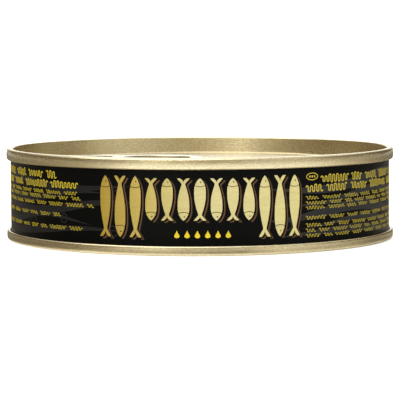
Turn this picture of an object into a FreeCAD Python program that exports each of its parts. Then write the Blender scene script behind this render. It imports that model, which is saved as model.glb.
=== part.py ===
"""A shut round tin of sprats, millimetres, +Z up, standing on z = 0 on its bottom seam.

The tin is a welded tinplate body with its contents, a pressed bottom end and an
easy-opening top end.  Both ends are double seamed to the body: the rim of the end
is rolled under the flange of the body, so that the two hooks hold each other.
A riveted ring pull lies on the top panel.
"""

import FreeCAD, Part
import math
import os

import Sketcher

SIZES = {
    # The whole tin, over its seams.
    "OverallDiameter": 102.3,
    "OverallHeight": 23.8,
    # Sheet metal, and the sealing compound between the layers of a seam.
    "EndPlate": 0.26,
    "BodyPlate": 0.24,
    "LayerGap": 0.11,
    # Double seams.
    "TopSeamHeight": 2.95,
    "BottomSeamHeight": 2.45,
    "CrownRadius": 0.7,
    "HookEndGap": 0.35,
    # The pressed middle of an end: depths are from the crown of its seam.
    "ChuckLean": 0.35,
    "CountersinkRadius": 0.7,
    "PanelDepth": 4.05,
    "PanelEdgeRadius": 0.55,
    "PanelWallHeight": 0.2,
    "BeadDepth": 0.5,
    "BeadRadius": 1.4,
    "BeadShoulderRadius": 1.2,
    "BeadHalfWidth": 1.9,
    # Beads, from the wall round the panel to the middle of the bead.
    "TopBeadInset": 4.5,
    "BottomBeadInset": 6.7,
    "BottomBeadPitch": 10.0,
    # The line that tears when the tin is opened.
    "ScoreInset": 1.1,
    "ScoreRadius": 0.2,
    "ScoreDepth": 0.1,
    # Contents, and the lap weld down the back of the body.
    "ContentsGap": 0.05,
    "WeldWidth": 0.9,
    "WeldHeight": 0.09,
    # Ring pull: its angle is from the front towards -X, its inset from the panel's wall.
    "TabAngle": 100.0,
    "TabInset": 2.1,
    "TabThickness": 1.0,
    "TabLift": 0.1,
    "TabEdgeRadius": 0.3,
    "TabHoleRadius": 9.0,
    "TabBand": 3.4,
    "TabBridge": 3.0,
    "WebRadius": 4.4,
    "WebLength": 11.3,
    "WebThickness": 0.5,
    "NoseBand": 1.8,
    # Rivet, raised from the metal of the panel.
    "RivetRadius": 1.6,
    "RivetHeadRadius": 2.9,
    "RivetHeadHeight": 0.4,
    "RivetClearance": 0.1,
}

# Places that more than one piece is built from.
OUTER = "Sizes.OverallDiameter / 2"
SEAM_FOLD = "(2 * Sizes.EndPlate + Sizes.BodyPlate + 2 * Sizes.LayerGap) / 2"
WALL = f"({OUTER} - 2 * {SEAM_FOLD} - Sizes.LayerGap)"
WALL_INSIDE = f"({WALL} - Sizes.BodyPlate)"
CHUCK = f"({WALL_INSIDE} - Sizes.LayerGap - Sizes.EndPlate)"
COUNTERSINK = f"({CHUCK} - Sizes.ChuckLean - Sizes.CountersinkRadius)"
PANEL_WALL = f"({COUNTERSINK} - Sizes.CountersinkRadius)"
PANEL_EDGE_LEVEL = "(Sizes.PanelDepth + Sizes.PanelEdgeRadius)"
COUNTERSINK_LEVEL = f"({PANEL_EDGE_LEVEL} + Sizes.PanelWallHeight)"
FLANGE_FOLD = "(Sizes.EndPlate + 2 * Sizes.LayerGap) / 2"
FLANGE_FLOOR = "(Sizes.EndPlate + Sizes.LayerGap + Sizes.BodyPlate)"
PANEL_TOP = "(Sizes.OverallHeight - Sizes.PanelDepth)"
TAB_RING_PLACE = "(Sizes.TabHoleRadius + Sizes.TabBridge + Sizes.WebRadius + Sizes.WebLength)"
TAB_NOSE = "(Sizes.WebRadius + Sizes.NoseBand)"
RIVET_PLACE = f"({PANEL_WALL} - Sizes.TabInset - {TAB_NOSE})"
RIVET_X = f"-{RIVET_PLACE} * sin(Sizes.TabAngle * 1 deg)"
RIVET_Y = f"-{RIVET_PLACE} * cos(Sizes.TabAngle * 1 deg)"
WEB_TOP = f"({PANEL_TOP} + Sizes.TabLift + Sizes.WebThickness)"

doc = FreeCAD.newDocument("SpratTin")


def size_sheet(sizes):
    """The spreadsheet of driving dimensions, one alias for each."""
    made = doc.addObject("Spreadsheet::Sheet", "Sizes")
    for row, (name, value) in enumerate(sizes.items(), start=1):
        made.set(f"A{row}", name)
        made.set(f"B{row}", str(value))
        made.setAlias(f"B{row}", name)
    doc.recompute()
    return made


sheet = size_sheet(SIZES)


def number(expression):
    """What an expression comes to."""
    value = sheet.evalExpression(expression)
    return float(getattr(value, "Value", value))


def bind(thing, **expressions):
    """Sizes of an object, each bound to an expression; _ in a name stands for a dot."""
    for name, expression in expressions.items():
        thing.setExpression(name.replace("_", "."), expression)
    return thing


def measure(sketch, name, kind, where, expression):
    """A named dimension of a sketch, bound to an expression."""
    index = sketch.addConstraint(Sketcher.Constraint(kind, *where, number(expression)))
    sketch.renameConstraint(index, name)
    sketch.setExpression(f"Constraints.{name}", expression)


def run_angle(before, after):
    """Direction of the straight run that leaves one bend and meets the next.

    A bend is (x, y, radius, turn), and turn is 1 to the left or -1 to the right.
    """
    dx = after[0] - before[0]
    dy = after[1] - before[1]
    shift = after[3] * after[2] - before[3] * before[2]
    return math.atan2(dy, dx) - math.asin(shift / math.hypot(dx, dy))


def touch_point(bend, angle):
    """Where a run in the given direction touches a bend."""
    x, y, radius, turn = bend
    side = turn * radius
    return FreeCAD.Vector(x + side * math.sin(angle), y - side * math.cos(angle), 0)


def draw_runs(sketch, bends, closed):
    """Straight runs joined by tangent round bends, an open line or a loop.

    Each bend is (x, y, radius, turn), the first three being expressions.  The two
    ends of an open line are bends of radius None.
    """
    rounds = [(number(x), number(y), number(r or "0"), turn) for x, y, r, turn in bends]
    count = len(rounds) if closed else len(rounds) - 1
    pairs = [(place, (place + 1) % len(rounds)) for place in range(count)]
    angles = [run_angle(rounds[first], rounds[last]) for first, last in pairs]
    for (first, last), angle in zip(pairs, angles):
        leave = touch_point(rounds[first], angle)
        meet = touch_point(rounds[last], angle)
        sketch.addGeometry(Part.LineSegment(leave, meet))
    for place, (x, y, radius, turn) in enumerate(bends):
        if radius is None:
            run, end = (0, 1) if place == 0 else (count - 1, 2)
            measure(sketch, f"End{place}X", "DistanceX", (-1, 1, run, end), x)
            measure(sketch, f"End{place}Y", "DistanceY", (-1, 1, run, end), y)
            continue
        centre = FreeCAD.Vector(*rounds[place][:2], 0)
        circle = Part.Circle(centre, FreeCAD.Vector(0, 0, 1), rounds[place][2])
        coming, going = place - 1, place
        sides = [angles[run] - turn * math.pi / 2 for run in (coming, going)]
        arc = sketch.addGeometry(Part.ArcOfCircle(circle, *sides[::turn]))
        first, last = (1, 2) if turn > 0 else (2, 1)
        coming %= count
        sketch.addConstraint(Sketcher.Constraint("Tangent", coming, 2, arc, first))
        sketch.addConstraint(Sketcher.Constraint("Tangent", arc, last, going, 1))
        measure(sketch, f"Bend{place}Radius", "Radius", (arc,), radius)
        measure(sketch, f"Bend{place}X", "DistanceX", (-1, 1, arc, 3), x)
        measure(sketch, f"Bend{place}Y", "DistanceY", (-1, 1, arc, 3), y)


def turned_sheet(name, bends, plate):
    """Metal of one thickness, to the left of a line in the XZ plane, spun round Z."""
    line = doc.addObject("Sketcher::SketchObject", name + "Line")
    line.Placement.Rotation = FreeCAD.Rotation(FreeCAD.Vector(1, 0, 0), 90)
    draw_runs(line, bends, closed=False)
    section = doc.addObject("Part::Offset2D", name + "Section")
    section.Source = line
    section.Mode = "Skin"
    section.Join = "Arc"
    section.Fill = True
    bind(section, Value=plate)
    turned = doc.addObject("Part::Revolution", name + "Sheet")
    turned.Source = section
    turned.Axis = FreeCAD.Vector(0, 0, 1)
    turned.Angle = 360
    turned.Solid = True
    return turned


def cylinder(name, radius, height, **placement):
    """An upright cylinder."""
    made = doc.addObject("Part::Cylinder", name)
    return bind(made, Radius=radius, Height=height, **placement)


def fused(name, shapes):
    """One solid of several that overlap."""
    made = doc.addObject("Part::MultiFuse", name)
    made.Shapes = shapes
    made.Refine = True
    return made


# --- The ends ---------------------------------------------------------------


def bead(place):
    """The bends of a round groove pressed into a panel."""
    shoulder = "Sizes.PanelDepth + Sizes.BeadShoulderRadius"
    floor = "Sizes.PanelDepth + Sizes.BeadDepth - Sizes.BeadRadius"
    return [
        (f"{place} - Sizes.BeadHalfWidth", shoulder, "Sizes.BeadShoulderRadius", 1),
        (place, floor, "Sizes.BeadRadius", -1),
        (f"{place} + Sizes.BeadHalfWidth", shoulder, "Sizes.BeadShoulderRadius", 1),
    ]


def end_sheet(name, seam_height, bead_places):
    """A pressed end, seamed, lying crown down on z = 0."""
    crown = "Sizes.CrownRadius"
    bends = [("0", "Sizes.PanelDepth", None, 1)]
    for place in bead_places:
        bends += bead(place)
    bends += [
        (
            f"{PANEL_WALL} - Sizes.PanelEdgeRadius",
            PANEL_EDGE_LEVEL,
            "Sizes.PanelEdgeRadius",
            1,
        ),
        (COUNTERSINK, COUNTERSINK_LEVEL, "Sizes.CountersinkRadius", -1),
        (f"{CHUCK} + {crown}", crown, crown, 1),
        (f"{OUTER} - {crown}", crown, crown, 1),
        (f"{OUTER} - {SEAM_FOLD}", f"{seam_height} - {SEAM_FOLD}", SEAM_FOLD, 1),
        (f"{OUTER} - 2 * {SEAM_FOLD}", f"{FLANGE_FLOOR} + Sizes.HookEndGap", None, 1),
    ]
    return turned_sheet(name, bends, "Sizes.EndPlate")


def bottom_end():
    """The plain end, with two expansion beads."""
    outer_bead = f"{PANEL_WALL} - Sizes.BottomBeadInset"
    inner_bead = f"{outer_bead} - Sizes.BottomBeadPitch"
    return end_sheet("Bottom", "Sizes.BottomSeamHeight", [inner_bead, outer_bead])


def rivet():
    """The rivet, drawn up from the panel through the tab and headed over it."""
    middle = {"Placement_Base_x": RIVET_X, "Placement_Base_y": RIVET_Y}
    foot = f"{PANEL_TOP} - Sizes.EndPlate / 2"
    under_head = f"{WEB_TOP} + Sizes.RivetClearance"
    stem_height = f"{under_head} - ({foot}) + Sizes.RivetHeadHeight / 2"
    stem = cylinder("RivetStem", "Sizes.RivetRadius", stem_height, Placement_Base_z=foot, **middle)
    head = cylinder(
        "RivetHead",
        "Sizes.RivetHeadRadius",
        "Sizes.RivetHeadHeight",
        Placement_Base_z=under_head,
        **middle,
    )
    return [stem, head]


def top_end():
    """The easy-opening end: one bead, a tear line and the rivet of the tab."""
    pressed = end_sheet(
        "Top", "Sizes.TopSeamHeight", [f"{PANEL_WALL} - Sizes.TopBeadInset"]
    )
    pressed.Placement.Rotation = FreeCAD.Rotation(FreeCAD.Vector(1, 0, 0), 180)
    bind(pressed, Placement_Base_z="Sizes.OverallHeight")
    score = doc.addObject("Part::Torus", "Score")
    bind(
        score,
        Radius1=f"{PANEL_WALL} - Sizes.ScoreInset",
        Radius2="Sizes.ScoreRadius",
        Placement_Base_z=f"{PANEL_TOP} + Sizes.ScoreRadius - Sizes.ScoreDepth",
    )
    scored = doc.addObject("Part::Cut", "ScoredSheet")
    scored.Base = pressed
    scored.Tool = score
    return fused("TopEnd", [scored, *rivet()])


# --- The body ---------------------------------------------------------------


def body():
    """Welded wall with a flange hooked over at each end, solid with its contents."""
    hook = f"{OUTER} - Sizes.EndPlate - Sizes.LayerGap - Sizes.BodyPlate"
    hook_end = "(Sizes.EndPlate + Sizes.HookEndGap)"
    fold_rise = f"({FLANGE_FLOOR} + {FLANGE_FOLD})"
    fold_place = f"{WALL} + {FLANGE_FOLD}"
    bends = [
        (hook, f"Sizes.BottomSeamHeight - {hook_end}", None, 1),
        (fold_place, fold_rise, FLANGE_FOLD, -1),
        (fold_place, f"Sizes.OverallHeight - {fold_rise}", FLANGE_FOLD, -1),
        (hook, f"Sizes.OverallHeight - Sizes.TopSeamHeight + {hook_end}", None, 1),
    ]
    wall = turned_sheet("Wall", bends, "Sizes.BodyPlate")
    metal = "(Sizes.EndPlate + Sizes.ContentsGap)"
    rim_level = f"({COUNTERSINK_LEVEL} + Sizes.CountersinkRadius + {metal})"
    rim = cylinder(
        "ContentsRim",
        f"{WALL} - Sizes.BodyPlate / 2",
        f"Sizes.OverallHeight - 2 * {rim_level}",
        Placement_Base_z=rim_level,
    )
    middle_level = f"(Sizes.PanelDepth + Sizes.BeadDepth + {metal})"
    middle = cylinder(
        "ContentsMiddle",
        f"{PANEL_WALL} - {metal}",
        f"Sizes.OverallHeight - 2 * {middle_level}",
        Placement_Base_z=middle_level,
    )
    weld = doc.addObject("Part::Box", "Weld")
    bind(
        weld,
        Length="Sizes.WeldWidth",
        Width="Sizes.BodyPlate / 2 + Sizes.WeldHeight",
        Height="Sizes.OverallHeight - Sizes.TopSeamHeight - Sizes.BottomSeamHeight",
        Placement_Base_x="-Sizes.WeldWidth / 2",
        Placement_Base_y=f"{WALL} - Sizes.BodyPlate / 2",
        Placement_Base_z="Sizes.BottomSeamHeight",
    )
    return fused("Body", [wall, rim, middle, weld])


# --- The ring pull ----------------------------------------------------------


def origin_plane(piece, role):
    """One of a PartDesign body's own planes."""
    return next(plane for plane in piece.Origin.OriginFeatures if plane.Role == role)


def flat_sketch(piece, name, height="0"):
    """A sketch parallel to the piece's XY plane."""
    sketch = piece.newObject("Sketcher::SketchObject", name)
    sketch.AttachmentSupport = [(origin_plane(piece, "XY_Plane"), "")]
    sketch.MapMode = "FlatFace"
    return bind(sketch, AttachmentOffset_Base_z=height)


def draw_circle(sketch, name, x, y, radius):
    """A circle with its centre and radius bound."""
    centre = FreeCAD.Vector(number(x), number(y), 0)
    circle = Part.Circle(centre, FreeCAD.Vector(0, 0, 1), number(radius))
    index = sketch.addGeometry(circle)
    measure(sketch, name + "Radius", "Radius", (index,), radius)
    measure(sketch, name + "X", "DistanceX", (-1, 1, index, 3), x)
    measure(sketch, name + "Y", "DistanceY", (-1, 1, index, 3), y)


def pocket(piece, name, sketch, depth):
    """A pocket that goes down from its sketch."""
    made = piece.newObject("PartDesign::Pocket", name)
    made.Profile = sketch
    bind(made, Length=depth)
    return made


def pull_tab():
    """The tab: a stamped ring with rolled edges and a flat web under the rivet."""
    piece = doc.addObject("PartDesign::Body", "PullTab")
    top = "Sizes.TabThickness"
    outline = flat_sketch(piece, "TabOutline")
    ring_radius = "Sizes.TabHoleRadius + Sizes.TabBand"
    bends = [("0", TAB_RING_PLACE, ring_radius, 1), ("0", "0", TAB_NOSE, 1)]
    draw_runs(outline, bends, closed=True)
    blank = piece.newObject("PartDesign::Pad", "TabBlank")
    blank.Profile = outline
    bind(blank, Length=top)
    hole = flat_sketch(piece, "TabHole", top)
    draw_circle(hole, "Hole", "0", TAB_RING_PLACE, "Sizes.TabHoleRadius")
    ring = pocket(piece, "TabRing", hole, top)
    doc.recompute()

    flats = (0, number(top))
    rims = [
        f"Edge{index}"
        for index, edge in enumerate(ring.Shape.Edges, start=1)
        if any(abs(edge.CenterOfMass.z - flat) < 1e-6 for flat in flats)
    ]
    rolled = piece.newObject("PartDesign::Fillet", "TabRolledEdges")
    rolled.Base = (ring, rims)
    bind(rolled, Radius="Sizes.TabEdgeRadius")

    web = flat_sketch(piece, "TabWeb", top)
    ends = [("0", place, "Sizes.WebRadius", 1) for place in ("Sizes.WebLength", "0")]
    draw_runs(web, ends, closed=True)
    pocket(piece, "TabWebPocket", web, f"{top} - Sizes.WebThickness")
    eye = flat_sketch(piece, "TabEye", top)
    draw_circle(eye, "Eye", "0", "0", "Sizes.RivetRadius + Sizes.RivetClearance")
    pocket(piece, "TabEyePocket", eye, top)

    bind(
        piece,
        Placement_Base_x=RIVET_X,
        Placement_Base_y=RIVET_Y,
        Placement_Base_z=f"{PANEL_TOP} + Sizes.TabLift",
        Placement_Rotation_Angle="-Sizes.TabAngle * 1 deg",
    )
    return piece


# --- Building and checking --------------------------------------------------

nodes = {
    "body": body(),
    "bottom_end": bottom_end(),
    "top_end": top_end(),
    "pull_tab": pull_tab(),
}
for label, node in nodes.items():
    node.Label = label
doc.recompute()

for item in doc.Objects:
    if {"Invalid", "Error"} & set(item.State):
        raise RuntimeError(f"{item.Name} failed: {item.State}")
for label, node in nodes.items():
    if node.Shape.isNull() or not node.Shape.isValid() or len(node.Shape.Solids) != 1:
        raise RuntimeError(f"{label} is not one sound solid")

os.makedirs("parts", exist_ok=True)
for label, node in nodes.items():
    node.Shape.exportStep(f"parts/{label}.step")
    box = node.Shape.BoundBox
    print(f"{label}: {node.Shape.Volume:.1f} mm3, z {box.ZMin:.3f} to {box.ZMax:.3f}")
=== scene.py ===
import math
import random
from collections import Counter

import bmesh
import bpy
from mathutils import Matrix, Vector


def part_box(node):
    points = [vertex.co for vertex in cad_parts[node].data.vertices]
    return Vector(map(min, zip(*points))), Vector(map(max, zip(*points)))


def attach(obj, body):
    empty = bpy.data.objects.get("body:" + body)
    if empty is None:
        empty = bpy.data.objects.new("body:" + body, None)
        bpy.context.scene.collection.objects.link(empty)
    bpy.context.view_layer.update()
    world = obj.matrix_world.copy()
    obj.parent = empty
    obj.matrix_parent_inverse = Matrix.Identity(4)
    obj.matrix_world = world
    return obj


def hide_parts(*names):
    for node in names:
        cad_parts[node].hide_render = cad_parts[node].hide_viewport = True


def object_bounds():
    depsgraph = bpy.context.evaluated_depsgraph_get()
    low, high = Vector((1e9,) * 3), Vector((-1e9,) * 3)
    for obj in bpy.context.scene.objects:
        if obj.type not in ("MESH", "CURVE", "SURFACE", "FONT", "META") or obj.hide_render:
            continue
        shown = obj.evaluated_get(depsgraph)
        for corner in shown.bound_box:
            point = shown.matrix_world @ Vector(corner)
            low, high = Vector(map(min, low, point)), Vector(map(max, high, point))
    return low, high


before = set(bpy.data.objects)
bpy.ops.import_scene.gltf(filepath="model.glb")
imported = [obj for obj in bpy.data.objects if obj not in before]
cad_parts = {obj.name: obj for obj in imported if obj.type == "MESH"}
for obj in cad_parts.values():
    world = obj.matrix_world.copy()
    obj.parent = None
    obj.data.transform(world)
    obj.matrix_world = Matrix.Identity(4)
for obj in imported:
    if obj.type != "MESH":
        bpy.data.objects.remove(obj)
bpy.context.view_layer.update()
tin_low, tin_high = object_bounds()

# ---------------------------------------------------------------- camera
# The tin is seen from the front, from just above its rim, through a long lens that stands about half a
# metre away and leans over by a fraction of a degree.
TIN_HEIGHT = tin_high.z
CAMERA_DISTANCE = 0.5421
CAMERA_ELEVATION = math.radians(4.43)
CAMERA_LENS = 183.5
CAMERA_AIM_DROP = 0.00237
CAMERA_ROLL = math.radians(-0.22)

tin_middle = Vector((0.0, 0.0, TIN_HEIGHT / 2))
camera_data = bpy.data.cameras.new("camera")
camera_data.lens = CAMERA_LENS
camera_data.sensor_width = 36.0
camera_data.clip_start = 0.01
camera_data.clip_end = 50.0
camera = bpy.data.objects.new("camera", camera_data)
bpy.context.scene.collection.objects.link(camera)
camera.location = tin_middle + CAMERA_DISTANCE * Vector(
    (0.0, -math.cos(CAMERA_ELEVATION), math.sin(CAMERA_ELEVATION)))
line_of_sight = tin_middle - Vector((0.0, 0.0, CAMERA_AIM_DROP)) - camera.location
aimed = line_of_sight.to_track_quat("-Z", "Y").to_euler()
aimed.rotate_axis("Z", CAMERA_ROLL)
camera.rotation_euler = aimed
bpy.context.scene.camera = camera
bpy.context.scene.view_settings.view_transform = "Standard"
bpy.context.scene.view_settings.look = "None"


# ---------------------------------------------------------------- table and light
# The tin stands on a white table in a light tent, under one large soft lamp above it, in front and to the
# left, and a weaker lamp behind. Dark cards lie flat on the table, and the round metal mirrors them.
def new_material(name):
    made = bpy.data.materials.new(name)
    made.use_nodes = True
    return made, made.node_tree, made.node_tree.nodes["Principled BSDF"]


def add_node(tree, kind, **settings):
    made = tree.nodes.new(kind)
    for key, value in settings.items():
        setattr(made, key, value)
    return made


def feed(tree, socket, value):
    """Links another socket to this one, or sets its value."""
    if isinstance(value, bpy.types.NodeSocket):
        tree.links.new(value, socket)
    else:
        socket.default_value = value


def maths(tree, operation, *values):
    made = add_node(tree, "ShaderNodeMath", operation=operation)
    for socket, value in zip(made.inputs, values):
        feed(tree, socket, value)
    return made.outputs["Value"]


def vectors(tree, operation, first, second=None):
    made = add_node(tree, "ShaderNodeVectorMath", operation=operation)
    feed(tree, made.inputs[0], first)
    if second is not None:
        feed(tree, made.inputs["Scale"] if operation == "SCALE" else made.inputs[1], second)
    return made.outputs["Value" if operation in ("LENGTH", "DOT_PRODUCT") else "Vector"]


def split(tree, vector):
    """The vector's three parts: across, away and up."""
    made = add_node(tree, "ShaderNodeSeparateXYZ")
    feed(tree, made.inputs[0], vector)
    return tuple(made.outputs)


def graded(tree, value, low, high, to=(0.0, 1.0), smooth=False):
    """Runs from the first of `to` to the second as the value goes from low to high."""
    made = add_node(tree, "ShaderNodeMapRange", interpolation_type="SMOOTHSTEP" if smooth else "LINEAR")
    for name, limit in (("From Min", low), ("From Max", high), ("To Min", to[0]), ("To Max", to[1])):
        made.inputs[name].default_value = limit
    feed(tree, made.inputs["Value"], value)
    return made.outputs["Result"]


def mixed(tree, share, first, second, **settings):
    """The first colour at a share of 0, the second at a share of 1, and a mix of them between."""
    made = add_node(tree, "ShaderNodeMix", **{"data_type": "RGBA", **settings})
    for name, value in (("Factor", share), ("A", first), ("B", second)):
        feed(tree, made.inputs[name], value)
    return made.outputs["Result"]


def colour_ramp(tree, share, stops):
    """A colour that runs through the stops, each a place from 0 to 1 and a colour."""
    ramp = add_node(tree, "ShaderNodeValToRGB")
    elements = ramp.color_ramp.elements
    while len(elements) < len(stops):
        elements.new(0.5)
    for element, (place, colour) in zip(elements, stops):
        element.position = place
        element.color = (*colour, 1)
    feed(tree, ramp.inputs["Fac"], share)
    return ramp.outputs["Color"]


def mesh_object(name, points, faces):
    """An object whose faces all look outward."""
    mesh = bpy.data.meshes.new(name)
    mesh.from_pydata(points, [], faces)
    mesh.validate()
    outward = bmesh.new()
    outward.from_mesh(mesh)
    bmesh.ops.recalc_face_normals(outward, faces=outward.faces)
    outward.to_mesh(mesh)
    outward.free()
    mesh.update()
    made = bpy.data.objects.new(name, mesh)
    bpy.context.scene.collection.objects.link(made)
    return made


# The metal mirrors a pool of light on the table, in front of the tin and to the left. The table itself
# glows a little, so that it is seen white.
TABLE_HALF = 6.0
TABLE_DROP = 0.00002
TABLE_GLOW = 0.5
POOL_END = 0.4
POOL_STOPS = ((0.0, 0.0), (0.0512, 0.5), (0.0530, 0.0), (0.080, 0.0), (0.088, 1.0), (0.102, 0.75),
              (0.125, 0.18), (0.28, 0.0), (POOL_END, 0.0))
POOL_WAY = (-0.36, -0.93, 0.0)
POOL_STRENGTH = 0.7
WHITE = (1.0, 1.0, 1.0)
table = mesh_object("table", [(x * TABLE_HALF, y * TABLE_HALF, -TABLE_DROP)
                              for x, y in ((-1, -1), (1, -1), (1, 1), (-1, 1))], [(0, 1, 2, 3)])
table_finish, tree, shader = new_material("white_table")
shader.inputs["Base Color"].default_value = (0.93, 0.93, 0.925, 1)
shader.inputs["Roughness"].default_value = 0.7
shader.inputs["Specular IOR Level"].default_value = 0.1
shader.inputs["Emission Color"].default_value = (*WHITE, 1)
ray = add_node(tree, "ShaderNodeLightPath")
place = add_node(tree, "ShaderNodeTexCoord").outputs["Object"]
pool = colour_ramp(tree, maths(tree, "DIVIDE", vectors(tree, "LENGTH", place), POOL_END),
                   [(reach / POOL_END, (light, light, light)) for reach, light in POOL_STOPS])
ahead = graded(tree, vectors(tree, "DOT_PRODUCT", vectors(tree, "NORMALIZE", place), POOL_WAY), 0.1, 0.95,
               to=(0.0, POOL_STRENGTH))
mirrored = maths(tree, "MULTIPLY", maths(tree, "MULTIPLY", pool, ahead), ray.outputs["Is Glossy Ray"])
feed(tree, shader.inputs["Emission Strength"],
     maths(tree, "MULTIPLY_ADD", ray.outputs["Is Camera Ray"], TABLE_GLOW, mirrored))
table.data.materials.append(table_finish)


def bearing_group():
    """The bearing round the tin's axis, from the front: 0 and 1 at the back, a half at the front."""
    group = bpy.data.node_groups.new("bearing_round_tin", "ShaderNodeTree")
    group.interface.new_socket("Place", in_out="INPUT", socket_type="NodeSocketVector")
    group.interface.new_socket("Share", in_out="OUTPUT", socket_type="NodeSocketFloat")
    given, out = add_node(group, "NodeGroupInput"), add_node(group, "NodeGroupOutput")
    across, away, _ = split(group, given.outputs["Place"])
    turn = maths(group, "ARCTAN2", across, maths(group, "MULTIPLY", away, -1.0))
    feed(group, out.inputs["Share"], graded(group, turn, -math.pi, math.pi))
    return group


bearing_round_tin = bearing_group()


def shades_round(tree, socket, stops):
    """A colour that changes with the bearing; each stop is a bearing in degrees and a colour."""
    bearing = add_node(tree, "ShaderNodeGroup", node_tree=bearing_round_tin)
    feed(tree, bearing.inputs["Place"], add_node(tree, "ShaderNodeTexCoord").outputs[socket])
    return colour_ramp(tree, bearing.outputs["Share"],
                       [(0.5 + degrees / 360, colour) for degrees, colour in stops])


CARD_STEPS = 36
CARD_INNER, CARD_OUTER = 0.0513, 0.70


def shaded_card(name, inner, outer, height, stops):
    """A card cut round the tin from the first bearing to the last; the darker its grey, the warmer."""
    finish, tree, shader = new_material(name)
    tint = [(degrees, (grey, grey * (0.86 + 0.12 * grey), grey * (0.58 + 0.38 * grey)))
            for degrees, grey in stops]
    feed(tree, shader.inputs["Base Color"], shades_round(tree, "Object", tint))
    shader.inputs["Roughness"].default_value = 0.8
    shader.inputs["Specular IOR Level"].default_value = 0.1
    points, faces = [], []
    for i in range(CARD_STEPS + 1):
        angle = math.radians(stops[0][0] + (stops[-1][0] - stops[0][0]) * i / CARD_STEPS)
        for reach in (inner, outer):
            points.append((reach * math.sin(angle), -reach * math.cos(angle), height))
        if i:
            faces.append((2 * i - 2, 2 * i - 1, 2 * i + 1, 2 * i))
    card = mesh_object(name, points, faces)
    card.data.materials.append(finish)
    card.visible_camera = False
    card.visible_diffuse = False
    card.visible_shadow = False


shaded_card("left_card", CARD_INNER, CARD_OUTER, height=0.0, stops=(
    (-168, 0.18), (-120, 0.20), (-84, 0.25), (-66, 0.32), (-50, 0.53), (-36, 0.90)))
shaded_card("right_card", CARD_INNER, CARD_OUTER, height=0.0, stops=(
    (56, 0.92), (74, 0.72), (85, 0.50), (100, 0.33), (112, 0.27), (128, 0.19), (168, 0.15)))
shaded_card("front_card", inner=0.0530, outer=0.080, height=TABLE_DROP, stops=(
    (-84, 0.17), (-60, 0.19), (-42, 0.25), (-29, 0.46), (-12, 0.60), (3, 0.38), (14, 0.34), (24, 0.76),
    (38, 0.60), (54, 0.53), (64, 0.30), (84, 0.15)))


def soft_lamp(name, place, size, watts):
    data = bpy.data.lights.new(name, "AREA")
    data.shape = "RECTANGLE"
    data.size, data.size_y = size
    data.energy = watts
    made = bpy.data.objects.new(name, data)
    bpy.context.scene.collection.objects.link(made)
    made.location = place
    made.rotation_euler = (-made.location).to_track_quat("-Z", "Y").to_euler()
    made.visible_camera = False


soft_lamp("overhead_lamp", place=(-0.28, -0.32, 0.75), size=(1.2, 1.2), watts=6.2)
soft_lamp("back_lamp", place=(0.0, 0.75, 0.75), size=(1.0, 0.6), watts=1.6)

# The tent is bright in front, brightest a little to the left, dark at both sides, and bright again straight
# behind. Low down, the light to the right reaches further round. Overhead it is an even pale grey.
TENT_STRENGTH = 1.5
TENT_TOP = (0.62, 0.62, 0.61)
TENT_ROUND = ((-180, WHITE), (-171, (0.90, 0.89, 0.86)), (-160, (0.14, 0.12, 0.08)),
              (-84, (0.13, 0.10, 0.065)), (-62, (0.20, 0.165, 0.11)), (-40, (0.40, 0.36, 0.28)),
              (-26, (0.80, 0.76, 0.65)), (-13, (0.40, 0.35, 0.26)), (4, (0.34, 0.30, 0.21)),
              (22, (0.40, 0.365, 0.285)), (46, (0.52, 0.49, 0.42)), (66, (0.47, 0.44, 0.37)),
              (82, (0.15, 0.12, 0.08)), (160, (0.09, 0.07, 0.04)), (171, (0.90, 0.89, 0.86)),
              (180, WHITE))
TENT_FOOT = TENT_ROUND[:11] + ((66, (0.50, 0.47, 0.40)), (98, (0.34, 0.315, 0.26)),
                               (118, (0.27, 0.25, 0.20)), (134, (0.10, 0.08, 0.05)), *TENT_ROUND[-3:])
tent = bpy.data.worlds.new("light_tent")
bpy.context.scene.world = tent
tent.use_nodes = True
tree = tent.node_tree
_, _, rise = split(tree, add_node(tree, "ShaderNodeTexCoord").outputs["Generated"])
sides = mixed(tree, graded(tree, rise, 0.02, 0.18, smooth=True),
              shades_round(tree, "Generated", TENT_FOOT), shades_round(tree, "Generated", TENT_ROUND))
dome = mixed(tree, graded(tree, rise, 0.35, 0.75, smooth=True), sides, (*TENT_TOP, 1))
seen = mixed(tree, add_node(tree, "ShaderNodeLightPath").outputs["Is Camera Ray"], dome, (*WHITE, 1))
feed(tree, tree.nodes["Background"].inputs["Color"], seen)
tree.nodes["Background"].inputs["Strength"].default_value = TENT_STRENGTH


# ---------------------------------------------------------------- wall
# The wall is a strip of tinplate, printed black all over and varnished, rolled up and welded at the back.
# The weld and a narrow margin on each side of it are left without ink.
MM = 0.001
WALL_RADIUS = 50.06 * MM
WELD_MARGIN = 2.0 * MM
WELD_FADE = 0.1 * MM
STREAK_SPREAD = 6.0
FLECK_SHARE = 0.65


def noise(tree, place, scale, detail, roughness=0.5):
    made = add_node(tree, "ShaderNodeTexNoise")
    for name, value in (("Vector", place), ("Scale", scale), ("Detail", detail), ("Roughness", roughness)):
        feed(tree, made.inputs[name], value)
    return made.outputs["Fac"]


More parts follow.
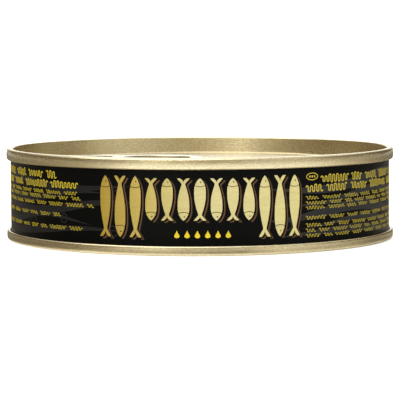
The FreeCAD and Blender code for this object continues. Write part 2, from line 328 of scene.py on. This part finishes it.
def grain_group():
    """Small crystals, streaks from the rolls that run round the tin, soft clouds, and paler flecks.

    The height is that of crystals and streaks together; the clouds shade the finish softly."""
    group = bpy.data.node_groups.new("tinplate_grain", "ShaderNodeTree")
    for name in ("Crystal Scale", "Streak Scale"):
        group.interface.new_socket(name, in_out="INPUT", socket_type="NodeSocketFloat")
    for name in ("Height", "Cloud", "Spangle"):
        group.interface.new_socket(name, in_out="OUTPUT", socket_type="NodeSocketFloat")
    given, out = add_node(group, "NodeGroupInput"), add_node(group, "NodeGroupOutput")
    in_mm = vectors(group, "SCALE", add_node(group, "ShaderNodeTexCoord").outputs["Object"], 1 / MM)
    crystal = noise(group, in_mm, given.outputs["Crystal Scale"], detail=1.5, roughness=0.6)
    level = vectors(group, "MULTIPLY", in_mm, (1, 1, 0))
    round_way = vectors(group, "SCALE", vectors(group, "NORMALIZE", level), STREAK_SPREAD)
    _, _, up = split(group, in_mm)
    lift = add_node(group, "ShaderNodeCombineXYZ")
    feed(group, lift.inputs["Z"], maths(group, "ADD", up, vectors(group, "LENGTH", level)))
    streak = noise(group, vectors(group, "ADD", round_way, lift.outputs[0]),
                   given.outputs["Streak Scale"], detail=2.0)
    cloud = noise(group, in_mm, scale=0.09, detail=3.0)
    flecks = graded(group, crystal, low=0.40, high=0.62, smooth=True)
    feed(group, out.inputs["Height"], maths(group, "ADD", crystal, streak))
    feed(group, out.inputs["Cloud"], cloud)
    feed(group, out.inputs["Spangle"], mixed(group, FLECK_SHARE, cloud, flecks, data_type="FLOAT"))
    return group


tinplate_grain = grain_group()


def grained(tree, crystal_scale, streak_scale):
    grain = add_node(tree, "ShaderNodeGroup", node_tree=tinplate_grain)
    grain.inputs["Crystal Scale"].default_value = crystal_scale
    grain.inputs["Streak Scale"].default_value = streak_scale
    return grain.outputs


def raised(tree, shader, height, depth):
    """Lets the grain stand up from the surface by a depth in metres."""
    bump = add_node(tree, "ShaderNodeBump")
    bump.inputs["Strength"].default_value = 1.0
    bump.inputs["Distance"].default_value = depth
    feed(tree, bump.inputs["Height"], height)
    feed(tree, shader.inputs["Normal"], bump.outputs["Normal"])


black_print, tree, shader = new_material("black_litho")
grain = grained(tree, crystal_scale=1.1, streak_scale=0.9)
raised(tree, shader, grain["Height"], depth=0.006 * MM)
across, away, _ = split(tree, add_node(tree, "ShaderNodeTexCoord").outputs["Object"])
off_weld = graded(tree, maths(tree, "ABSOLUTE", across), WELD_MARGIN - WELD_FADE, WELD_MARGIN + WELD_FADE)
inked = maths(tree, "MAXIMUM", off_weld, maths(tree, "LESS_THAN", away, 0.0))
black_ink = mixed(tree, grain["Cloud"], (0.0010, 0.0012, 0.0010, 1), (0.0020, 0.0023, 0.0020, 1))
bare_tinplate = (0.60, 0.58, 0.52, 1)
feed(tree, shader.inputs["Base Color"], mixed(tree, inked, bare_tinplate, black_ink))
feed(tree, shader.inputs["Metallic"], maths(tree, "SUBTRACT", 1.0, inked))
shader.inputs["Roughness"].default_value = 0.27
shader.inputs["Specular IOR Level"].default_value = 0.06
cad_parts["body"].data.materials[0] = black_print


# ---------------------------------------------------------------- grey waves
# The first ink over the black is dark grey: broad waves that sweep round both sides of the tin, with small
# bubbles among them. Each is one thin curved plate of ink on the wall, a hundredth of a millimetre proud.
WALL_REACH = WALL_RADIUS / MM
INK_ROOT = -0.05
INK_COLUMN = 0.9
INK_CREASE = 30


def on_wall(along, up, proud):
    angle = along / WALL_REACH
    reach = WALL_RADIUS + proud * MM
    return (reach * math.sin(angle), -reach * math.cos(angle), up * MM)


def ribbon(middle, half_widths, closed=False):
    """The two edges of a strip of ink along a line of points, in millimetres along and up the wall."""
    edges = []
    count = len(middle)
    for i, (along, up) in enumerate(middle):
        before = middle[i - 1] if closed or i else middle[i]
        after = middle[(i + 1) % count] if closed or i < count - 1 else middle[i]
        run, rise = after[0] - before[0], after[1] - before[1]
        length = math.hypot(run, rise)
        across = (-rise / length * half_widths[i], run / length * half_widths[i])
        edges.append(((along + across[0], up + across[1]), (along - across[0], up - across[1])))
    return edges, closed


def joined(points, faces):
    """Points that lie in one place become one, and walls that two strips share are left out."""
    seats, kept, at = {}, [], []
    for point in points:
        key = tuple(round(value / MM, 4) for value in point)
        if key not in seats:
            seats[key] = len(kept)
            kept.append(point)
        at.append(seats[key])
    faces = [tuple(at[corner] for corner in face) for face in faces]
    shared = Counter(frozenset(face) for face in faces)
    return kept, [face for face in faces if shared[frozenset(face)] == 1]


def finished_piece(name, points, faces, finish, slot, crease):
    """A smooth piece with its finish, creased where its faces turn by more than the given degrees."""
    made = mesh_object(name, points, faces)
    made.data.shade_smooth()
    made.data.set_sharp_from_angle(angle=math.radians(crease))
    made.data.materials.append(finish)
    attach(made, "root")
    return made


def ink_piece(name, strips, finish, slot, proud):
    """Closed plates of ink, each strip a row of bands from its one edge to its other."""
    points, faces = [], []
    for edges, closed in strips:
        spread = max(abs(a[0] - b[0]) for a, b in edges)
        columns = max(1, math.ceil(spread / INK_COLUMN))
        ring = 2 * (columns + 1)
        first = len(points)
        for a, b in edges:
            for depth in (proud, INK_ROOT):
                for k in range(columns + 1):
                    share = k / columns
                    points.append(on_wall(a[0] + (b[0] - a[0]) * share, a[1] + (b[1] - a[1]) * share, depth))
        rows = len(edges)
        for i in range(rows if closed else rows - 1):
            here = first + i * ring
            there = first + (i + 1) % rows * ring
            for k in range(columns):
                low = columns + 1 + k
                faces.append((here + k, here + k + 1, there + k + 1, there + k))
                faces.append((here + low, there + low, there + low + 1, here + low + 1))
            faces.append((here, there, there + columns + 1, here + columns + 1))
            faces.append((here + columns, here + ring - 1, there + ring - 1, there + columns))
        if not closed:
            last = first + (rows - 1) * ring
            for k in range(columns):
                low = columns + 1 + k
                faces.append((first + k, first + low, first + low + 1, first + k + 1))
                faces.append((last + k, last + k + 1, last + low + 1, last + low))
    finished_piece(name, *joined(points, faces), finish, slot, INK_CREASE)


def ink_finish(name, stops, roughness):
    """An ink whose colour runs through the stops, each a place along the wall in millimetres and a colour."""
    made, tree, shader = new_material(name)
    across, _, _ = split(tree, add_node(tree, "ShaderNodeTexCoord").outputs["Object"])
    tint = colour_ramp(tree, graded(tree, across, -WALL_RADIUS, WALL_RADIUS),
                       [(0.5 + 0.5 * math.sin(along / WALL_REACH), colour) for along, colour in stops])
    mottle = graded(tree, grained(tree, crystal_scale=3.0, streak_scale=1.5)["Height"], 0.5, 1.5,
                    to=(0.86, 1.08))
    feed(tree, shader.inputs["Base Color"], mixed(tree, 1.0, tint, mottle, blend_type="MULTIPLY"))
    shader.inputs["Roughness"].default_value = roughness
    shader.inputs["Specular IOR Level"].default_value = 0.08
    return made


WAVE_STEPS = 60
WAVE_TIP = 0.02
WAVE_FULLNESS = 0.8
BUBBLE_STEPS = 36
BUBBLE_STROKE = 0.34


def wave(start, end, level, swing, lean, thick, turns, phase):
    """A wave that swells from nothing to its full thickness and dies away again."""
    middle, half = [], []
    for i in range(WAVE_STEPS + 1):
        t = i / WAVE_STEPS
        middle.append((start + (end - start) * t,
                       level + lean * t + swing * math.sin(2 * math.pi * turns * t + phase)))
        half.append(max(WAVE_TIP, thick / 2 * math.sin(math.pi * t) ** WAVE_FULLNESS))
    return ribbon(middle, half)


def bubble(along, up, reach):
    turns = [2 * math.pi * i / BUBBLE_STEPS for i in range(BUBBLE_STEPS)]
    middle = [(along + reach * math.cos(turn), up + reach * math.sin(turn)) for turn in turns]
    return ribbon(middle, [BUBBLE_STROKE / 2] * BUBBLE_STEPS, closed=True)


# The grey runs darker at the left and paler towards the right.
grey_ink = ink_finish("print_grey", ((-70, (0.013, 0.013, 0.013)), (-18, (0.014, 0.014, 0.014)),
                                     (18, (0.026, 0.026, 0.027)), (70, (0.032, 0.032, 0.033))),
                      roughness=0.35)
# Each wave: where it starts and ends along the wall, its level, swing, lean, thickness, turns and phase.
waves = [wave(*shape) for shape in (
    (-82, -17, 17.6, 1.0, -1.2, 2.0, 1.0, 0.4),
    (-84, -24, 14.2, 1.4, -0.6, 1.6, 1.2, 0.9),
    (-80, -16, 10.6, 1.5, 0.8, 2.4, 1.1, 1.4),
    (-84, -28, 7.4, 1.2, 0.4, 1.4, 1.3, 2.0),
    (-78, -20, 4.8, 0.8, 0.5, 1.8, 1.0, 2.6),
    (17, 80, 16.2, 1.2, 1.4, 2.6, 1.0, 3.4),
    (22, 84, 13.0, 1.4, 0.8, 1.6, 1.2, 4.0),
    (16, 78, 9.6, 1.5, -0.4, 2.8, 1.1, 4.6),
    (26, 86, 7.0, 1.1, -0.6, 1.4, 1.3, 5.0),
    (20, 80, 4.6, 0.8, -0.4, 2.0, 1.0, 5.6))]
ink_piece("grey_waves", waves, grey_ink, "print_grey", proud=0.010)

# Each bubble: its place along and up the wall, and its radius.
bubbles = [bubble(*shape) for shape in (
    (-66, 8.9, 2.3), (-59, 13.2, 1.2), (-50, 6.3, 1.7), (-37, 8.2, 1.1), (-22, 5.6, 1.3), (-21, 14.8, 0.9),
    (22, 6.9, 1.2), (36, 9.9, 1.6), (44, 14.9, 1.0), (55, 6.0, 2.1), (63, 12.4, 1.3), (72, 8.4, 1.8))]
ink_piece("grey_bubbles", bubbles, grey_ink, "print_grey", proud=0.012)


# ---------------------------------------------------------------- gold sprats
# A row of thirteen upright sprats is printed in gold across the front, heads up and down by turns, with a
# brown drop shadow and a black gap behind each. The three at each end are taller than the seven between
# them. Two groups of seven more stand on the back, one on each side of the weld.
SPRAT_PITCH = 4.0
SPRAT_WIDE = 2.85
# How far along the fish from its nose, and its width there as a share of the full width.
SPRAT_BODY = ((0.00, 0.03), (0.03, 0.30), (0.07, 0.52), (0.14, 0.80), (0.24, 0.97), (0.36, 1.00),
              (0.50, 0.95), (0.62, 0.80), (0.74, 0.58), (0.82, 0.38), (0.87, 0.29))
# The same for the tail's two lobes, each with an inner and an outer edge.
SPRAT_TAIL = ((0.87, 0.0, 0.29), (0.91, 0.0, 0.52), (0.95, 0.12, 0.80), (1.0, 0.55, 1.08))
# The levels of the lowest and highest point of each kind, and how many of each stand together.
TALL_SPRAT, SHORT_SPRAT, BACK_SPRAT = (4.4, 19.3), (8.6, 18.85), (5.4, 17.6)
TALL_COUNT, SHORT_COUNT, BACK_COUNT = 3, 7, 7
BACK_GROUP = 125
SHADOW_RIGHT, SHADOW_DOWN = 0.75, 0.50
GAP_RIGHT, GAP_DOWN = 0.42, 0.28
EYE_REACH, EYE_RIGHT, EYE_PLACE = 0.17, 0.2, 0.09
GILL_WIDE, GILL_BOW, GILL_PLACE, GILL_HALF_STROKE = 0.42, 0.30, 0.17, 0.075
DOT_STEPS, GILL_STEPS = 8, 4
POINTED = 0.01


def sprat(along, low, high, head_up):
    """One fish standing on its tail or on its nose: a spindle of a body and a forked tail."""
    nose, length = (high, low - high) if head_up else (low, high - low)
    half = SPRAT_WIDE / 2
    strips = [([((along - half * share, nose + length * t), (along + half * share, nose + length * t))
                for t, share in SPRAT_BODY], False)]
    for side in (-half, half):
        strips.append(([((along + side * inner, nose + length * t), (along + side * outer, nose + length * t))
                        for t, inner, outer in SPRAT_TAIL], False))
    return strips


def dot(along, up, half_wide, half_tall):
    """A round or oval dot, as a strip of bands across."""
    rows = []
    for i in range(DOT_STEPS + 1):
        angle = math.pi * i / DOT_STEPS
        half = max(POINTED, half_wide * math.sin(angle))
        level = up + half_tall * math.cos(angle)
        rows.append(((along - half, level), (along + half, level)))
    return rows, False


def gill(along, up, way):
    """A short bowed line behind the head."""
    middle = []
    for k in range(-GILL_STEPS, GILL_STEPS + 1):
        t = k / GILL_STEPS
        middle.append((along + SPRAT_WIDE * GILL_WIDE * t, up + way * GILL_BOW * (1 - t ** 2)))
    return ribbon(middle, [GILL_HALF_STROKE] * len(middle))


def sprat_row(middle, kinds):
    """The fish of one row, heads up and down by turns."""
    return [(middle + (i - (len(kinds) - 1) / 2) * SPRAT_PITCH, *kind, i % 2 == 0)
            for i, kind in enumerate(kinds)]


tall_ones = [TALL_SPRAT] * TALL_COUNT
places = sprat_row(0.0, [*tall_ones, *[SHORT_SPRAT] * SHORT_COUNT, *tall_ones])
for side in (-BACK_GROUP, BACK_GROUP):
    places += sprat_row(side, [BACK_SPRAT] * BACK_COUNT)
sprats, shadows, gaps, marks = [], [], [], []
for along, low, high, head_up in places:
    sprats += sprat(along, low, high, head_up)
    shadows += sprat(along + SHADOW_RIGHT, low - SHADOW_DOWN, high - SHADOW_DOWN, head_up)
    gaps += sprat(along + GAP_RIGHT, low - GAP_DOWN, high - GAP_DOWN, head_up)
    nose, way = (high, -1) if head_up else (low, 1)
    marks.append(dot(along + EYE_RIGHT, nose + way * EYE_PLACE * (high - low), EYE_REACH, EYE_REACH))
    marks.append(gill(along, nose + way * GILL_PLACE * (high - low), way))
gold_ink = ink_finish("print_gold", ((-25, (0.37, 0.25, 0.038)), (-14, (0.52, 0.40, 0.108)),
                                     (0, (0.67, 0.60, 0.295)), (25, (0.73, 0.65, 0.29))),
                      roughness=0.4)
brown_ink = ink_finish("print_shadow", ((-25, (0.115, 0.06, 0.03)), (25, (0.115, 0.06, 0.03))),
                       roughness=0.4)
ink_piece("sprat_shadows", shadows, brown_ink, "print_shadow", proud=0.018)
ink_piece("sprat_gaps", gaps, black_print, "black_litho", proud=0.022)
ink_piece("gold_sprats", sprats, gold_ink, "print_gold", proud=0.026)
ink_piece("sprat_eyes", marks, black_print, "black_litho", proud=0.029)


# ---------------------------------------------------------------- yellow lines
# The last ink is yellow: six drops of oil under the sprats, and at each side a block of lines that run on
# round the tin. Every line is a row of wavy strokes, tall or small, and an oval ring opens one block.
yellow_ink = ink_finish("print_yellow", ((-70, (0.47, 0.36, 0.028)), (-20, (0.56, 0.44, 0.028)),
                                         (0, (0.88, 0.66, 0.035)), (20, (0.62, 0.50, 0.065)),
                                         (70, (0.52, 0.42, 0.055))), roughness=0.4)
YELLOW_PROUD = 0.030
TOP_LOWERED, FOOT_RAISED = 0.22, 0.14
BEND_STEPS = 6
WORD_LEAST, WORD_MOST = 0.55, 1.35
WORD_TAIL = 0.3
WORD_GAP = 0.9
draw = random.Random(11)


def wavy_stroke(start, end, low, high, pitch, stroke):
    """Upright runs joined by half circles, above and below by turns; the runs differ a little in height."""
    bend = pitch / 4
    middle = []
    along, over = start, True
    while along + 2 * bend < end:
        top = high - stroke / 2 - bend - draw.uniform(0.0, TOP_LOWERED) * (high - low)
        foot = low + stroke / 2 + bend + draw.uniform(0.0, FOOT_RAISED) * (high - low)
        level = top if over else foot
        for k in range(BEND_STEPS + 1):
            angle = math.pi * (1 - k / BEND_STEPS) if over else math.pi * (1 + k / BEND_STEPS)
            middle.append((along + bend + bend * math.cos(angle), level + bend * math.sin(angle)))
        along += 2 * bend
        over = not over
    return ribbon(middle, [stroke / 2] * len(middle))


def printed_line(start, end, low, high, pitch, stroke, word):
    """Wavy strokes of differing lengths with gaps between; a rest too short to stand alone is joined on."""
    strips = []
    along = start
    while along < end - word * WORD_TAIL:
        length = min(word * draw.uniform(WORD_LEAST, WORD_MOST), end - along)
        if end - along - length < word * WORD_TAIL:
            length = end - along
        if length > 2 * pitch:
            strips.append(wavy_stroke(along, along + length, low, high, pitch, stroke))
        along += length + pitch * WORD_GAP
    return strips


# The wave's pitch, the stroke's width and the usual length of one stroke.
TALL_LINE = (1.30, 0.29, 9.0)
SMALL_LINE = (0.96, 0.135, 5.0)
lines = []
for start, end, low, high, kind in (
        (-90, -39.4, 17.75, 19.95, TALL_LINE), (-88, -31.8, 15.4, 17.55, TALL_LINE),
        (-91, -32.2, 13.95, 15.0, SMALL_LINE), (-89, -31.2, 12.75, 13.8, SMALL_LINE),
        (-90, -27.0, 11.1, 12.15, SMALL_LINE), (-87, -35.5, 8.45, 9.5, SMALL_LINE),
        (-90, -30.4, 5.3, 6.35, SMALL_LINE),
        (31.9, 88, 16.9, 19.2, TALL_LINE), (27.3, 86, 14.7, 16.85, TALL_LINE),
        (27.3, 88, 12.9, 13.95, SMALL_LINE), (27.3, 87, 11.7, 12.7, SMALL_LINE),
        (27.3, 84, 10.5, 11.5, SMALL_LINE), (27.3, 86, 8.0, 9.05, SMALL_LINE),
        (27.3, 88, 6.2, 7.25, SMALL_LINE), (27.3, 85, 4.9, 5.9, SMALL_LINE),
        (27.3, 80, 3.6, 4.6, SMALL_LINE)):
    lines += printed_line(start, end, low, high, *kind)
ink_piece("yellow_lines", lines, yellow_ink, "print_yellow", YELLOW_PROUD)

DROP_COUNT = 6
DROP_MIDDLE = 0.6
DROP_PITCH = 2.5
DROP_HALF = 0.66
DROP_LOW, DROP_HIGH = 4.35, 6.15
# How far down the drop, and its width there as a share of the full width.
DROP_SHAPE = ((0.0, 0.04), (0.12, 0.16), (0.28, 0.36), (0.44, 0.64), (0.58, 0.87), (0.70, 0.99),
              (0.80, 0.97), (0.90, 0.76), (0.96, 0.48), (1.0, 0.12))
drops = []
for i in range(DROP_COUNT):
    along = DROP_MIDDLE + (i - (DROP_COUNT - 1) / 2) * DROP_PITCH
    rows = []
    for t, share in DROP_SHAPE:
        up = DROP_HIGH - (DROP_HIGH - DROP_LOW) * t
        rows.append(((along - DROP_HALF * share, up), (along + DROP_HALF * share, up)))
    drops.append((rows, False))
ink_piece("oil_drops", drops, yellow_ink, "print_yellow", YELLOW_PROUD)

OVAL_ALONG, OVAL_UP = 29.15, 18.65
OVAL_HALF_WIDE, OVAL_HALF_TALL = 1.68, 0.84
OVAL_STEPS = 40
OVAL_HALF_STROKE = 0.10
OVAL_DOT_PITCH, OVAL_DOT_WIDE, OVAL_DOT_TALL = 0.72, 0.22, 0.30
turns = [2 * math.pi * i / OVAL_STEPS for i in range(OVAL_STEPS)]
oval = [(OVAL_ALONG + OVAL_HALF_WIDE * math.cos(turn), OVAL_UP + OVAL_HALF_TALL * math.sin(turn))
        for turn in turns]
ring_print = [ribbon(oval, [OVAL_HALF_STROKE] * OVAL_STEPS, closed=True)]
for shift in (-OVAL_DOT_PITCH, 0.0, OVAL_DOT_PITCH):
    ring_print.append(dot(OVAL_ALONG + shift, OVAL_UP, OVAL_DOT_WIDE, OVAL_DOT_TALL))
ink_piece("oval_ring", ring_print, yellow_ink, "print_yellow", YELLOW_PROUD)


# ---------------------------------------------------------------- ends
# The two ends are stamped from gold-lacquered tinplate and rolled over the wall's flanges in double seams.
# The top one is scored for opening, and a rivet is drawn up out of its panel for the ring pull.
ROUGHNESS_SPREAD = 0.06


def metal_finish(name, pale, deep, roughness, crystal_scale, streak_scale, depth):
    """Bright metal whose crystals and streaks stand up by a depth, with flecks of the paler colour."""
    made, tree, shader = new_material(name)
    grain = grained(tree, crystal_scale, streak_scale)
    raised(tree, shader, grain["Height"], depth)
    feed(tree, shader.inputs["Base Color"], mixed(tree, grain["Spangle"], (*deep, 1), (*pale, 1)))
    cloudy = graded(tree, grain["Cloud"], 0.0, 1.0,
                    to=(roughness - ROUGHNESS_SPREAD, roughness + ROUGHNESS_SPREAD))
    feed(tree, shader.inputs["Roughness"], cloudy)
    shader.inputs["Metallic"].default_value = 1.0
    return made


gold_tinplate = metal_finish("gold_lacquered_tinplate", pale=(0.79, 0.705, 0.485), deep=(0.62, 0.53, 0.32),
                             roughness=0.24, crystal_scale=2.6, streak_scale=2.4, depth=0.026 * MM)

# The metal is one sheet, so its section is one line of straight runs and tangent bends with the sheet's
# thickness to its left. Places are in millimetres from the axis and down from the crown.
SEAM_RADIUS = -tin_low.x / MM
END_PLATE = 0.26
BODY_PLATE = 0.24
LAYER_GAP = 0.11
SEAM_FOLD = (2 * END_PLATE + BODY_PLATE + 2 * LAYER_GAP) / 2
TOP_SEAM, BOTTOM_SEAM = 2.95, 2.45
CROWN_BEND = 0.7
INNER_BEND = 0.4
HOOK_LEVEL = 0.96
CHUCK_WALL = 49.45
COUNTERSINK, COUNTERSINK_RISE, COUNTERSINK_BEND = 48.4, 0.75, 0.7
PANEL_DEPTH = 4.05
PANEL_WALL = 47.7
PANEL_BEND = 0.55
TOP_BEADS, BOTTOM_BEADS = (PANEL_WALL - 4.5,), (PANEL_WALL - 16.7, PANEL_WALL - 6.7)
BEAD_HALF, BEAD_DEPTH, BEAD_FOOT, BEAD_BEND = 1.9, 0.5, 1.2, 1.4
SCORE_PLACE, SCORE_RADIUS, SCORE_SWING, SCORE_STEPS = 46.6, 0.2, math.radians(60), 4
# The seam's face is a little barrelled: a wide bend fills nearly all its height, above and below its middle.
SEAM_BELLY = 5.2
BELLY_MIDDLE = 0.52
BELLY_SHARE = 0.95
BEND_TURN = math.radians(6)
END_STEPS = 320
METAL_CREASE = 35
NEXT_TO_NOTHING = 1e-9


def run_angle(before, after):
    """The direction of the straight run that touches two bends."""
    dx, dy = after[0] - before[0], after[1] - before[1]
    return math.atan2(dy, dx) - math.asin((after[3] * after[2] - before[3] * before[2]) / math.hypot(dx, dy))


def sheet_section(bends):
    """Pairs of a point on the line and the point opposite it on the sheet's other side.

    Each bend is its centre, its radius, and 1 or -1 for the way that it turns."""
    angles = [run_angle(before, after) for before, after in zip(bends, bends[1:])]
    pairs = []

    def put(bend, angle):
        x, y, radius, turn = bend
        x, y = x + turn * radius * math.sin(angle), y - turn * radius * math.cos(angle)
        pairs.append(((x, y), (x - END_PLATE * math.sin(angle), y + END_PLATE * math.cos(angle))))

    put(bends[0], angles[0])
    for before, after, bend in zip(angles, angles[1:], bends[1:]):
        swing = after - before
        while swing * bend[3] < -NEXT_TO_NOTHING:
            swing += bend[3] * 2 * math.pi
        steps = max(1, math.ceil(abs(swing) / BEND_TURN))
        for k in range(steps + 1):
            put(bend, before + swing * k / steps)
    put(bends[-1], angles[-1])
    return pairs


def end_section(seam_height, bead_places, scored):
    """The end's sheet from the middle of the panel out to the tip of the hook."""
    bends = [(0.0, PANEL_DEPTH, 0.0, 1)]
    for place in bead_places:
        bends += [(place - BEAD_HALF, PANEL_DEPTH + BEAD_FOOT, BEAD_FOOT, 1),
                  (place, PANEL_DEPTH + BEAD_DEPTH - BEAD_BEND, BEAD_BEND, -1),
                  (place + BEAD_HALF, PANEL_DEPTH + BEAD_FOOT, BEAD_FOOT, 1)]
    middle = seam_height * BELLY_MIDDLE
    above = BELLY_SHARE * (middle - CROWN_BEND) ** 2 / (2 * (SEAM_BELLY - CROWN_BEND))
    below = BELLY_SHARE * (seam_height - SEAM_FOLD - middle) ** 2 / (2 * (SEAM_BELLY - SEAM_FOLD))
    fold = SEAM_FOLD - below / 2
    bends += [(PANEL_WALL - PANEL_BEND, PANEL_DEPTH + PANEL_BEND, PANEL_BEND, 1),
              (COUNTERSINK, PANEL_DEPTH + COUNTERSINK_RISE, COUNTERSINK_BEND, -1),
              (CHUCK_WALL + INNER_BEND, INNER_BEND, INNER_BEND, 1),
              (SEAM_RADIUS - above - CROWN_BEND, CROWN_BEND, CROWN_BEND, 1),
              (SEAM_RADIUS - SEAM_BELLY, middle, SEAM_BELLY, 1),
              (SEAM_RADIUS - below - fold, seam_height - fold, fold, 1),
              (SEAM_RADIUS - 2 * SEAM_FOLD, HOOK_LEVEL, 0.0, 1)]
    pairs = sheet_section(bends)
    if scored:
        groove = []
        for k in range(-SCORE_STEPS, SCORE_STEPS + 1):
            swing = SCORE_SWING * k / SCORE_STEPS
            x = SCORE_PLACE + SCORE_RADIUS * math.sin(swing)
            groove.append(((x, PANEL_DEPTH + SCORE_RADIUS * (math.cos(swing) - math.cos(SCORE_SWING))),
                           (x, PANEL_DEPTH + END_PLATE)))
        at = next(i for i, pair in enumerate(pairs) if pair[0][0] > SCORE_PLACE)
        pairs[at:at] = groove
    return pairs


def turned(points, faces, loop, centre, steps):
    """A closed section spun round an upright axis; a point on the axis stays one point."""
    rings = []
    for x, z in loop:
        if abs(x) < NEXT_TO_NOTHING:
            rings.append([len(points)] * steps)
            points.append((centre[0] * MM, centre[1] * MM, z * MM))
        else:
            rings.append([len(points) + k for k in range(steps)])
            for k in range(steps):
                angle = 2 * math.pi * k / steps
                points.append(((centre[0] + x * math.cos(angle)) * MM,
                               (centre[1] + x * math.sin(angle)) * MM, z * MM))
    for here, there in zip(rings, rings[1:] + rings[:1]):
        if here[0] == here[1] and there[0] == there[1]:
            continue
        for k in range(steps):
            after = (k + 1) % steps
            faces.append(tuple(dict.fromkeys((here[k], here[after], there[after], there[k]))))


top_level = TIN_HEIGHT / MM
panel_level = top_level - PANEL_DEPTH
section = end_section(TOP_SEAM, TOP_BEADS, scored=True)
loop = [(x, top_level - y) for (x, y), _ in section] + [(x, top_level - y) for _, (x, y) in reversed(section)]
points, faces = [], []
turned(points, faces, loop, (0, 0), END_STEPS)

TAB_ANGLE = math.radians(100)
RIVET_PLACE = 39.4
RIVET_CENTRE = (-RIVET_PLACE * math.sin(TAB_ANGLE), -RIVET_PLACE * math.cos(TAB_ANGLE))
RIVET_STEPS = 96
# From the top of the rivet's head down to its root in the panel: how far out, and how high over the panel.
RIVET_SHAPE = ((0.0, 1.1), (2.4, 1.1), (2.7, 1.08), (2.84, 1.02), (2.9, 0.92), (2.9, 0.8), (2.75, 0.7),
               (1.6, 0.7), (1.6, -0.1), (0.0, -0.1))
turned(points, faces, [(out, panel_level + rise) for out, rise in RIVET_SHAPE], RIVET_CENTRE, RIVET_STEPS)
top_shell = finished_piece("top_end_metal", points, faces, gold_tinplate, "gold_lacquered_tinplate",
                           METAL_CREASE)
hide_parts("top_end")

points, faces = [], []
section = end_section(BOTTOM_SEAM, BOTTOM_BEADS, scored=False)
loop = [(x, y) for _, (x, y) in section] + [(x, y) for (x, y), _ in reversed(section)]
turned(points, faces, loop, (0, 0), END_STEPS)
bottom_shell = finished_piece("bottom_end_metal", points, faces, gold_tinplate, "gold_lacquered_tinplate",
                              METAL_CREASE)
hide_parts("bottom_end")

# ---------------------------------------------------------------- ring pull
# The ring pull is pressed from thicker lacquered steel with its edges rolled under, and the rivet holds it
# to the panel. Its face is smoother and a little paler than the ends. Its edges, and all of it below its
# face, are coloured dark as painted shade. The wall of its finger hole carries painted shade and a painted
# dark reflection, darkest on the rivet's side, at the left, and takes the face's colour away from it.
TAB_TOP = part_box("pull_tab")[1].z
EDGE_DARK, EDGE_CLEAR = 0.30 * MM, 0.06 * MM
HOLE_RADIUS = 9.0 * MM
HOLE_PLACE = 11.7 * MM
HOLE_CENTRE = (-HOLE_PLACE * math.sin(TAB_ANGLE), -HOLE_PLACE * math.cos(TAB_ANGLE))
HOLE_WALL, HOLE_WALL_END = 0.12 * MM, 0.30 * MM
DARK_END, PALE_END = -0.75 * HOLE_RADIUS, 0.65 * HOLE_RADIUS
tab_finish = metal_finish("tab_steel", pale=(0.80, 0.74, 0.58), deep=(0.74, 0.67, 0.49), roughness=0.22,
                          crystal_scale=3.2, streak_scale=1.2, depth=0.008 * MM)
tree = tab_finish.node_tree
shader = tree.nodes["Principled BSDF"]
face_colour = shader.inputs["Base Color"].links[0].from_socket
place = add_node(tree, "ShaderNodeTexCoord").outputs["Object"]
across, _, up = split(tree, place)
# Painted shade: below its top face, on its edges and in its recess, the tab is coloured dark.
on_face = graded(tree, up, TAB_TOP - EDGE_DARK, TAB_TOP - EDGE_CLEAR, smooth=True)
face_with_edge_shade = mixed(tree, on_face, (0.21, 0.175, 0.12, 1), face_colour)
from_hole = vectors(tree, "MULTIPLY", vectors(tree, "SUBTRACT", place, (*HOLE_CENTRE, 0)), (1, 1, 0))
off_wall = graded(tree, vectors(tree, "LENGTH", from_hole), HOLE_RADIUS + HOLE_WALL,
                  HOLE_RADIUS + HOLE_WALL_END, smooth=True)
# Painted shade and dark reflection on the finger hole's wall: darkest at the left, fading to the face's
# colour towards the right.
hole_shade_fade = graded(tree, across, HOLE_CENTRE[0] + DARK_END, HOLE_CENTRE[0] + PALE_END, smooth=True)
hole_wall_shade_colour = mixed(tree, hole_shade_fade, (0.36, 0.305, 0.21, 1), face_colour)
feed(tree, shader.inputs["Base Color"], mixed(tree, off_wall, hole_wall_shade_colour, face_with_edge_shade))
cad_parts["pull_tab"].data.materials[0] = tab_finish
